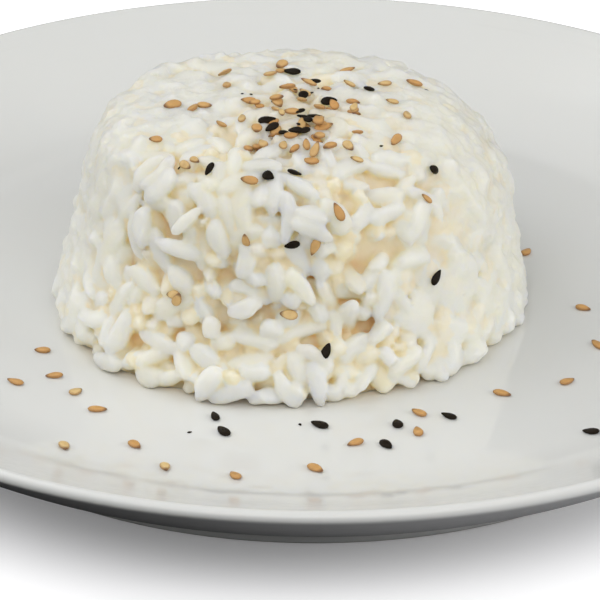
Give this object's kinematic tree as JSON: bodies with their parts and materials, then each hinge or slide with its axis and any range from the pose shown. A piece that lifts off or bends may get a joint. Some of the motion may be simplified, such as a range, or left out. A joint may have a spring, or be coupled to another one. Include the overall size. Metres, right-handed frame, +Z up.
{
  "type": "moulded white rice on a plate",
  "caption": "Moulded portion of cooked white rice, sprinkled with pale and dark seeds, turned out on its round glazed plate.",
  "frame": {"origin": "on the table, at the middle of the plate's foot ring", "axes": "+Z up; -Y towards the diner; the rice stands a little to -X and -Y of the plate's middle"},
  "size_m": [0.23, 0.23, 0.0548],
  "materials": {
    "glaze": "glossy white glaze",
    "rice_grain": "moist translucent white cooked grain",
    "tan_seed": "toasted golden seed skin, satin",
    "dark_seed": "near-black seed skin, satin"
  },
  "bodies": {
    "root": {"plate": "glaze", "rice": "rice_grain"}
  },
  "joints": []
}
